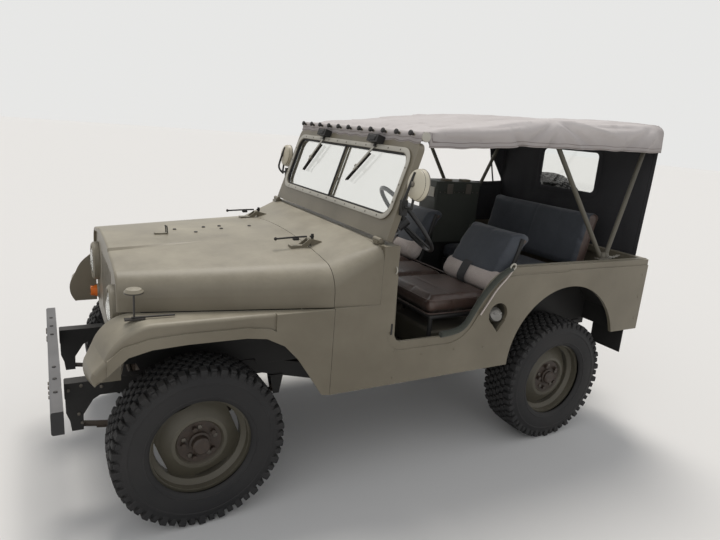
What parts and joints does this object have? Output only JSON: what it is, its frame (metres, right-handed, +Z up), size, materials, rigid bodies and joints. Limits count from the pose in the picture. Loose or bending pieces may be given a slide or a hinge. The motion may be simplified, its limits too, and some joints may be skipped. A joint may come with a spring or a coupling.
{
  "type": "army 4x4 car",
  "caption": "Light open-sided army four-wheel-drive car with flat fenders, folding windscreen, canvas top, upright spare wheel and steered front wheels.",
  "frame": {"origin": "on the ground under the middle of the car", "axes": "+X forward, +Y to the left, +Z up"},
  "size_m": [3.52, 1.712, 1.8878],
  "materials": {
    "paint_olive": "semi-gloss olive drab paint, dusty",
    "paint_black": "black chassis paint, worn at the edges",
    "steel_dark": "oily dark iron and steel",
    "tyre": "mud tyre rubber",
    "canvas_taupe": "grey-taupe canvas",
    "canvas_grey": "grey-blue canvas",
    "leather_brown": "brown leatherette",
    "glass_clear": "clear glass",
    "plastic_clear": "clear window sheet",
    "lens_orange": "orange lens",
    "rubber_black": "black rubber",
    "mirror_cream": "cream painted back and mirror face",
    "wheel_black": "hard black plastic"
  },
  "bodies": {
    "car": {"frame_rails": "paint_black", "frame_crossmembers": "paint_black", "front_bumper": "paint_black", "rear_bumperettes": "paint_black", "front_axle": "steel_dark", "rear_axle": "steel_dark", "leaf_springs": "steel_dark", "engine_block": "steel_dark", "driveline": "steel_dark", "exhaust": "steel_dark", "fuel_tank": "paint_olive", "tub_floor": "paint_olive", "wheelhouses": "paint_olive", "body_sides": "paint_olive", "rear_panel": "paint_olive", "cowl": "paint_olive", "firewall": "paint_olive", "front_fenders": "paint_olive", "fender_aprons": "paint_black", "marker_post": "paint_black", "grille_panel": "paint_olive", "headlamps": "paint_olive", "headlamp_lenses": "glass_clear", "turn_lamps": "lens_orange", "tail_lamps": "paint_black", "windscreen_frame": "paint_olive", "windscreen_glass": "glass_clear", "wipers": "rubber_black", "mirrors": "mirror_cream", "steering_column": "paint_olive", "control_levers": "paint_black", "seat_cushions": "leather_brown", "seat_backs": "canvas_grey", "seat_frames": "paint_olive", "stowage_chest": "paint_olive", "canvas_bows": "paint_olive", "canvas_roof": "canvas_taupe", "rear_curtain": "canvas_taupe", "rear_window": "plastic_clear", "mud_flaps": "rubber_black", "wheel_spare": "paint_olive", "tyre_spare": "tyre"},
    "hood": {"hood": "paint_olive"},
    "steering_wheel": {"steering_wheel": "wheel_black"},
    "pitman_arm": {"pitman_arm": "steel_dark"},
    "drag_link": {"drag_link": "steel_dark"},
    "knuckle_left": {"knuckle_left": "steel_dark"},
    "knuckle_right": {"knuckle_right": "steel_dark"},
    "tie_rod": {"tie_rod": "steel_dark"},
    "wheel_front_left": {"wheel_front_left": "paint_olive", "tyre_front_left": "tyre"},
    "wheel_front_right": {"wheel_front_right": "paint_olive", "tyre_front_right": "tyre"},
    "wheel_rear_left": {"wheel_rear_left": "paint_olive", "tyre_rear_left": "tyre"},
    "wheel_rear_right": {"wheel_rear_right": "paint_olive", "tyre_rear_right": "tyre"}
  },
  "joints": [
    {"name": "steer_left", "type": "hinge", "parent": "car", "child": "knuckle_left", "pos_m": [1.205, 0.505, 0.365], "axis": [0, 0, 1], "range_deg": [-26, 26]},
    {"name": "steer_right", "type": "hinge", "parent": "car", "child": "knuckle_right", "pos_m": [1.205, -0.505, 0.365], "axis": [0, 0, 1], "range_deg": [-26, 26]},
    {"name": "tie_rod_swing", "type": "hinge", "parent": "knuckle_left", "child": "tie_rod", "pos_m": [1.38, 0.505, 0.372], "axis": [0, 0, 1], "range_deg": [-26, 26]},
    {"name": "steering_wheel_turn", "type": "hinge", "parent": "car", "child": "steering_wheel", "pos_m": [0.085, 0.4, 1.275], "axis": [-0.7449, 0.1673, 0.6459], "range_deg": [-442, 442]},
    {"name": "pitman_swing", "type": "hinge", "parent": "car", "child": "pitman_arm", "pos_m": [0.855, 0.288, 0.612], "axis": [0, -1, 0], "range_deg": [-26, 26]},
    {"name": "drag_link_swing", "type": "hinge", "parent": "pitman_arm", "child": "drag_link", "pos_m": [0.855, 0.263, 0.462], "axis": [0, -1, 0], "range_deg": [-26, 26]},
    {"name": "hood_hinge", "type": "hinge", "parent": "car", "child": "hood", "pos_m": [0.634, 0, 1.18], "axis": [0, -1, 0], "range_deg": [0, 95]},
    {"name": "spin_front_left", "type": "hinge", "parent": "knuckle_left", "child": "wheel_front_left", "pos_m": [1.205, 0.624, 0.365], "axis": [0, 1, 0], "continuous": true},
    {"name": "spin_front_right", "type": "hinge", "parent": "knuckle_right", "child": "wheel_front_right", "pos_m": [1.205, -0.624, 0.365], "axis": [0, 1, 0], "continuous": true},
    {"name": "spin_rear_left", "type": "hinge", "parent": "car", "child": "wheel_rear_left", "pos_m": [-0.852, 0.624, 0.365], "axis": [0, 1, 0], "continuous": true},
    {"name": "spin_rear_right", "type": "hinge", "parent": "car", "child": "wheel_rear_right", "pos_m": [-0.852, -0.624, 0.365], "axis": [0, 1, 0], "continuous": true}
  ],
  "couplings": [
    {"joint": "steer_right", "follows": "steer_left", "ratio": 1},
    {"joint": "tie_rod_swing", "follows": "steer_left", "ratio": -1},
    {"joint": "steering_wheel_turn", "follows": "steer_left", "ratio": 17},
    {"joint": "pitman_swing", "follows": "steer_left", "ratio": 1},
    {"joint": "drag_link_swing", "follows": "steer_left", "ratio": -1}
  ]
}
